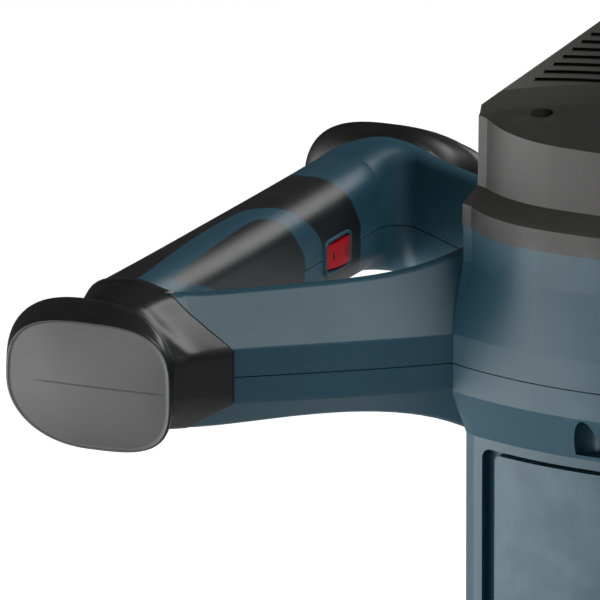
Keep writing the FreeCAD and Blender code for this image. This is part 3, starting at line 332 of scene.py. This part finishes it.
# ---- materials of the CAD nodes ------------------------------------------------------------
TEAL_DARK = (0.021, 0.073, 0.106)
TEAL_LIGHT = (0.024, 0.080, 0.115)


def make_finishes():
    """Material slot of the record to material."""
    return {
        "teal_plastic": moulded_plastic(
            "teal_plastic", TEAL_DARK, TEAL_LIGHT, 0.42, 900.0, 0.00002, (0.06, 0.14, 0.18), 0.38),
        "soft_grip_rubber": rubber("soft_grip_rubber", (0.012, 0.012, 0.012), 0.42, 1100.0, 0.00003),
        "bumper_rubber": mould_line_with_painted_shade(
            # the darkest tone here is painted shade for the groove of the mould line
            rubber("bumper_rubber", (0.010, 0.010, 0.010), 0.38, 700.0, 0.00002), (0.003, 0.003, 0.003)),
        "dark_plastic": moulded_plastic(
            "dark_plastic", (0.028, 0.028, 0.027), (0.034, 0.034, 0.032), 0.5, 800.0, 0.00004,
            (0.09, 0.09, 0.09)),
        "red_plastic": moulded_plastic(
            "red_plastic", (0.52, 0.006, 0.012), (0.56, 0.008, 0.014), 0.35, 900.0, 0.00002),
        "black_screws": machined_metal("black_screws", (0.06, 0.06, 0.065), 0.4),
        "lamination_steel": laminated_metal("lamination_steel"),
        "copper": wound_copper("copper"),
        "carbon": moulded_plastic("carbon", (0.02, 0.02, 0.022), (0.03, 0.03, 0.032), 0.6, 500.0, 0.00005),
        "brass": machined_metal("brass", (0.62, 0.42, 0.18), 0.35),
        "spring_steel": machined_metal("spring_steel", (0.35, 0.35, 0.36), 0.35),
        "cast_aluminium": cast_metal("cast_aluminium", (0.48, 0.49, 0.50)),
        "bearing_steel": machined_metal("bearing_steel", (0.60, 0.61, 0.62), 0.2),
        "gear_steel": machined_metal("gear_steel", (0.38, 0.38, 0.39), 0.35),
        "machined_steel": machined_metal("machined_steel", (0.46, 0.46, 0.47), 0.3),
        "painted_steel": enamelled_metal("painted_steel", (0.012, 0.012, 0.013), (0.35, 0.34, 0.33), 0.38),
        "seal_rubber": rubber("seal_rubber", (0.02, 0.02, 0.02), 0.5, 900.0, 0.00003),
    }


def dress_nodes(finishes):
    slots = {item["node"]: item["material_slot"] for item in frame["record"]["subparts"]}
    for name, obj in NODES.items():
        obj.data.materials.clear()
        obj.data.materials.append(finishes[slots[name]].material)
        for polygon in obj.data.polygons:
            polygon.material_index = 0


# ---- geometry helpers ----------------------------------------------------------------------
RAY_REACH = 0.12             # how far out the rays towards a corner start


def mesh_object(name, verts, faces, slot_name):
    mesh = bpy.data.meshes.new(name)
    mesh.from_pydata([tuple(v) for v in verts], [], faces)
    mesh.validate()
    work = bmesh.new()
    work.from_mesh(mesh)
    bmesh.ops.recalc_face_normals(work, faces=work.faces)
    work.to_mesh(mesh)
    work.free()
    for polygon in mesh.polygons:
        polygon.use_smooth = True
    obj = bpy.data.objects.new(name, mesh)
    bpy.context.scene.collection.objects.link(obj)
    mesh.materials.append(finishes[slot_name].material)
    return obj


def surface_of(*names):
    """Ray-cast tree of several CAD nodes, in world metres."""
    verts, faces = [], []
    for name in names:
        obj = NODES[name]
        base = len(verts)
        verts += [obj.matrix_world @ v.co for v in obj.data.vertices]
        faces += [tuple(base + index for index in polygon.vertices) for polygon in obj.data.polygons]
    return BVHTree.FromPolygons(verts, faces)


def joined_rings(rings, closed_ends=True):
    """Faces between rings of equal length; each ring is a closed loop of points."""
    count = len(rings[0])
    verts = [point for ring in rings for point in ring]
    faces = []
    for level in range(len(rings) - 1):
        low, high = level * count, (level + 1) * count
        for i in range(count):
            j = (i + 1) % count
            faces.append((low + i, low + j, high + j, high + i))
    if closed_ends:
        faces.append(tuple(range(count)))
        faces.append(tuple(range(len(verts) - count, len(verts))))
    return verts, faces


def smooth_stations(stations, steps):
    """Catmull-Rom values between rows of numbers."""
    rows = []
    for i in range(len(stations) - 1):
        before = stations[max(i - 1, 0)]
        start, end = stations[i], stations[i + 1]
        after = stations[min(i + 2, len(stations) - 1)]
        for step in range(steps):
            t = step / steps
            row = []
            for a, b, c, d in zip(before, start, end, after):
                row.append(0.5 * (2 * b + (c - a) * t + (2 * a - 5 * b + 4 * c - d) * t ** 2
                                  + (3 * b - a - 3 * c + d) * t ** 3))
            rows.append(row)
    rows.append(list(stations[-1]))
    return rows


def rounded_unit(angle, powers):
    """Point of a unit outline with its own roundness in each quarter."""
    cosine, sine = math.cos(angle), math.sin(angle)
    power = powers[(0 if sine >= 0 else 2) + (0 if cosine >= 0 else 1)]
    radius = (abs(cosine) ** power + abs(sine) ** power) ** (-1 / power)
    return Vector((radius * cosine, radius * sine))


# ---- rubber bumpers ------------------------------------------------------------------------
BUMPER_RING = 96
BUMPER_START_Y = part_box("left_front_bumper")[1][1]
PAD_FACE_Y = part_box("left_front_bumper")[0][1]
ARM_PROBE_Y = BUMPER_START_Y + 0.0012      # plane in which the arm's outline is read
ARM_MIDDLE = Vector((-0.212, ARM_PROBE_Y, PARTING_Z + 0.004))
STATION_STEPS = 4
PAD_CROWN = 0.0012                         # how far the pad's middle stands out
PAD_SHARES = (0.985, 0.95, 0.85, 0.7, 0.5, 0.25, 0.05)
COLLAR_TUCK = 0.9                          # the sleeve's end is tucked into the arm
REAR_GROWTH = 2.2                          # the rear rims are this much taller, mm
GROWTH_SIDEWAYS = 2.4                      # and wider by this many times as much
FACE_POWERS = (3.2, 3.1, 3.5, 2.1)         # top right, top left, bottom right, bottom left
RIM_POWERS = (2.5, 2.7, 3.3, 2.2)
CORNERS = (
    # side, end, node
    (1, 1, "left_front_bumper"),
    (-1, 1, "right_front_bumper"),
    (1, -1, "left_rear_bumper"),
    (-1, -1, "right_rear_bumper"),
)


def arm_section():
    """Outline of the handle's corner under the sleeve, as unit offsets, and its box."""
    tree = surface_of("upper_housing", "lower_housing")
    points = []
    for i in range(BUMPER_RING):
        angle = 2 * math.pi * i / BUMPER_RING
        outward = Vector((math.cos(angle), 0, math.sin(angle)))
        hit = tree.ray_cast(ARM_MIDDLE + outward * RAY_REACH, -outward)[0]
        points.append((hit.x, hit.z - PARTING_Z))
    low_x, high_x = min(p[0] for p in points), max(p[0] for p in points)
    low_z, high_z = min(p[1] for p in points), max(p[1] for p in points)
    centre = ((low_x + high_x) / 2, (low_z + high_z) / 2)
    half = ((high_x - low_x) / 2, (high_z - low_z) / 2)
    shape = [((x - centre[0]) / half[0], (z - centre[1]) / half[1]) for x, z in points]
    return shape, (low_x, high_x, low_z, high_z)


def bumper_stations(arm_box):
    """Rows from the sleeve to the pad's edge, in mm; heights are above the parting plane."""
    low_x, high_x, low_z, high_z = [value / MM for value in arm_box]
    start, face = BUMPER_START_Y / MM, PAD_FACE_Y / MM
    return smooth_stations([
        # y, left, right, foot, top, share of the rim's outline, share of the face's outline
        (start, low_x - 0.3, high_x + 0.3, low_z - 0.3, high_z + 0.3, 0.0, 0.0),
        (start - 4, low_x - 0.2, high_x - 4.9, low_z, high_z - 0.8, 0.0, 0.0),
        (start - 9, low_x, high_x - 11.2, low_z + 0.6, high_z - 2.6, 0.05, 0.0),
        (start - 13.5, low_x - 0.5, high_x - 16.0, low_z + 1.2, high_z - 4.2, 0.2, 0.0),
        (start - 17, -260.5, -189.4, -28.0, 32.6, 0.6, 0.0),
        (start - 20.5, -266.0, -190.0, -30.6, 34.8, 0.9, 0.0),
        (start - 24, -268.6, -188.6, -31.6, 36.2, 1.0, 0.1),
        (start - 30, -267.6, -184.6, -31.0, 35.0, 1.0, 0.5),
        (start - 35.5, -265.2, -182.2, -30.2, 31.6, 1.0, 0.9),
        (face + 1.6, -263.9, -181.6, -29.8, 30.0, 1.0, 1.0),
        (face + 0.9, -263.1, -182.3, -29.3, 29.2, 1.0, 1.0),
    ], STATION_STEPS)


def pad_rings(edge):
    """Rings from the pad's edge to its middle, on a slight crown."""
    centre = sum(edge, Vector()) / len(edge)
    rings = []
    for share in PAD_SHARES:
        ring = [centre + (point - centre) * share for point in edge]
        for point in ring:
            point.y = PAD_FACE_Y + PAD_CROWN * share ** 2
        rings.append(ring)
    return rings


def bumper_rings(growth):
    """Left front bumper: sleeve on the arm, hollow neck, flared rim and flat pad.

    The growth, in mm, makes the rim taller, as on the rear bumpers."""
    shape, arm_box = arm_section()
    angles = [2 * math.pi * i / BUMPER_RING for i in range(BUMPER_RING)]
    faces = [rounded_unit(angle, FACE_POWERS) for angle in angles]
    rims = [rounded_unit(angle, RIM_POWERS) for angle in angles]
    rings = []
    for y, left, right, foot, top, flare, flat in bumper_stations(arm_box):
        flare = min(max(flare, 0.0), 1.0)
        left -= GROWTH_SIDEWAYS * growth * flare * (1 - flat)
        top += growth * flare * (1 - flat)
        ring = []
        for own, rim, pad in zip(shape, rims, faces):
            unit = Vector(own).lerp(rim.lerp(pad, flat), flare)
            x = (left + right) / 2 + (right - left) / 2 * unit.x
            z = (foot + top) / 2 + (top - foot) / 2 * unit.y
            ring.append(Vector((x * MM, y * MM, PARTING_Z + z * MM)))
        rings.append(ring)
    collar = rings[0]
    middle = sum(collar, Vector()) / len(collar)
    tucked = [middle + (point - middle) * COLLAR_TUCK for point in collar]
    return [tucked, *rings, *pad_rings(rings[-1])]


def make_bumpers():
    for side, end, node in CORNERS:
        rings = bumper_rings(REAR_GROWTH if end < 0 else 0.0)
        turned = [[Vector((p.x * side, p.y * end, p.z)) for p in ring] for ring in rings]
        verts, faces = joined_rings(turned)
        obj = mesh_object(node + "_rubber", verts, faces, "bumper_rubber")
        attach(obj, "housing")
        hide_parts(node)


# ---- rubber skin over the front corners ----------------------------------------------------
# Lengths along y and x in mm; the skin is a sheet of steps round the corner and rows along y.
SKIN_STEPS = 40
SKIN_ROWS = 12
SKIN_THICK = 0.4 * MM
SKIN_EDGE = 0.6              # share of the thickness left at the first row
SKIN_FIRST_ANGLE = 48        # degrees
SKIN_SWEEP = 205
SKIN_X = -225                # the rays round the corner aim at this line
SKIN_ABOVE_PARTING = 2
SKIN_START_Y = -116.0        # on the outer side
SKIN_SLANT = 24.6            # how much further back it starts over the crest
SLANT_X = -238.0             # where the slant starts, and how wide it is
SLANT_WIDTH = 41.0
SKIN_PROBE_Y = -130.0        # plane in which a step's sideways place is read
SKIN_END_Y = -141.0          # under the bumper's sleeve
ROW_CROWDING = 1.5           # packs the rows towards the start


def skin_start(x):
    """Y in mm where the skin starts: level on the outer side, slanting back over the crest."""
    share = min(max((x - SLANT_X) / SLANT_WIDTH, 0.0), 1.0)
    return SKIN_START_Y - SKIN_SLANT * share


def corner_skin():
    """Left front corner: rubber from the sleeve of the grip to the bumper, over the outer side."""
    tree = surface_of("upper_housing", "lower_housing", "left_grip")

    def landing(y, angle):
        middle = Vector((SKIN_X * MM, y * MM, PARTING_Z + SKIN_ABOVE_PARTING * MM))
        outward = Vector((math.cos(angle), 0, math.sin(angle)))
        point, normal = tree.ray_cast(middle + outward * RAY_REACH, -outward)[:2]
        return point, (normal if normal.dot(outward) > 0 else -normal)

    verts = []
    for step in range(SKIN_STEPS + 1):
        angle = math.radians(SKIN_FIRST_ANGLE + SKIN_SWEEP * step / SKIN_STEPS)
        start = skin_start(landing(SKIN_PROBE_Y, angle)[0].x / MM)
        edge = step in (0, SKIN_STEPS)
        for row in range(-1, SKIN_ROWS + 1):
            share = max(row, 0) / SKIN_ROWS
            point, normal = landing(start + (SKIN_END_Y - start) * share ** ROW_CROWDING, angle)
            # the border is sunk into the part below, so the sheet has no open edge to see
            lift = -SKIN_THICK if row < 0 or edge else SKIN_THICK * (SKIN_EDGE if row == 0 else 1.0)
            verts.append(point + normal * lift)
    across = SKIN_ROWS + 2
    faces = []
    for step in range(SKIN_STEPS):
        for row in range(across - 1):
            low, high = step * across + row, (step + 1) * across + row
            faces.append((low, low + 1, high + 1, high))
    return verts, faces


def make_skins():
    verts, faces = corner_skin()
    for side, name in ((1, "left"), (-1, "right")):
        turned = [Vector((v.x * side, v.y, v.z)) for v in verts]
        obj = mesh_object(name + "_corner_skin", turned, faces, "bumper_rubber")
        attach(obj, "housing")


# ---- switch bezel and marks ----------------------------------------------------------------
SWITCH_LOW, SWITCH_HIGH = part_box("switch_module")
ROCKER_LOW, ROCKER_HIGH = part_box("rocker_switch")
PROBE_LIFT = 0.02            # how far off the rocker the rays onto its face start
BEZEL_CLEARANCE = 0.4 * MM
BEZEL_STAND = 0.6 * MM       # how far the bezel's loop stands off the switch
# profiles: mm outwards from the loop, mm towards the hand opening
BEZEL_PROFILE = ((-0.9, -1.5), (-0.9, 0.7), (-0.6, 1.1), (0.5, 1.1), (0.9, 0.7), (0.9, -1.5))
MARK_PROFILE = ((-0.3, -0.3), (-0.3, 0.12), (0.3, 0.12), (0.3, -0.3))
MARK_HALF_HEIGHT = 2.1 * MM
# name, place along the rocker and half width, both in mm
MARKS = (("mark_off", 5, 1.3), ("mark_on", -6, 0.25))


def swept_loop(path, profile):
    """Closed tube: the profile, in mm, is laid at every point of a loop that faces along x."""
    count = len(path)
    offsets = [(a * MM, b * MM) for a, b in profile]
    rings = []
    for i in range(count):
        along = (path[(i + 1) % count] - path[i - 1]).normalized()
        outwards = along.cross(Vector((1, 0, 0)))
        rings.append([path[i] + outwards * a + Vector((b, 0, 0)) for a, b in offsets])
    rings.append(rings[0])
    return joined_rings(rings, closed_ends=False)


def rounded_loop(x, y_mid, z_mid, half_y, half_z, power, count):
    points = []
    for i in range(count):
        unit = rounded_unit(2 * math.pi * i / count, (power,) * 4)
        points.append(Vector((x, y_mid + unit.x * half_y, z_mid + unit.y * half_z)))
    return points


def make_bezel():
    """Teal frame round the switch window, standing slightly proud of the grip."""
    y_mid = (SWITCH_LOW.y + SWITCH_HIGH.y) / 2
    half_y = (SWITCH_HIGH.y - SWITCH_LOW.y) / 2 + BEZEL_CLEARANCE
    half_z = (SWITCH_HIGH.z - SWITCH_LOW.z) / 2 + BEZEL_CLEARANCE
    loop = rounded_loop(SWITCH_HIGH.x + BEZEL_STAND, y_mid, PARTING_Z, half_y, half_z, power=7.0, count=72)
    verts, faces = swept_loop(loop, BEZEL_PROFILE)
    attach(mesh_object("switch_bezel", verts, faces, "teal_plastic"), "housing")


def make_marks():
    """Moulded 0 and I on the rocker."""
    tree = surface_of("rocker_switch")
    y_mid = (ROCKER_LOW.y + ROCKER_HIGH.y) / 2
    z_mid = (ROCKER_LOW.z + ROCKER_HIGH.z) / 2

    def on_face(y, z):
        return tree.ray_cast(Vector((ROCKER_HIGH.x + PROBE_LIFT, y, z)), Vector((-1, 0, 0)))[0]

    for name, place, half_width in MARKS:
        loop = rounded_loop(
            0.0, y_mid + place * MM, z_mid, half_width * MM, MARK_HALF_HEIGHT, power=2.2, count=40)
        loop = [on_face(point.y, point.z) for point in loop]
        verts, faces = swept_loop(loop, MARK_PROFILE)
        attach(mesh_object(name, verts, faces, "seal_rubber"), "rocker")


make_camera()
make_studio()
finishes = make_finishes()
dress_nodes(finishes)
make_bumpers()
make_skins()
make_bezel()
make_marks()
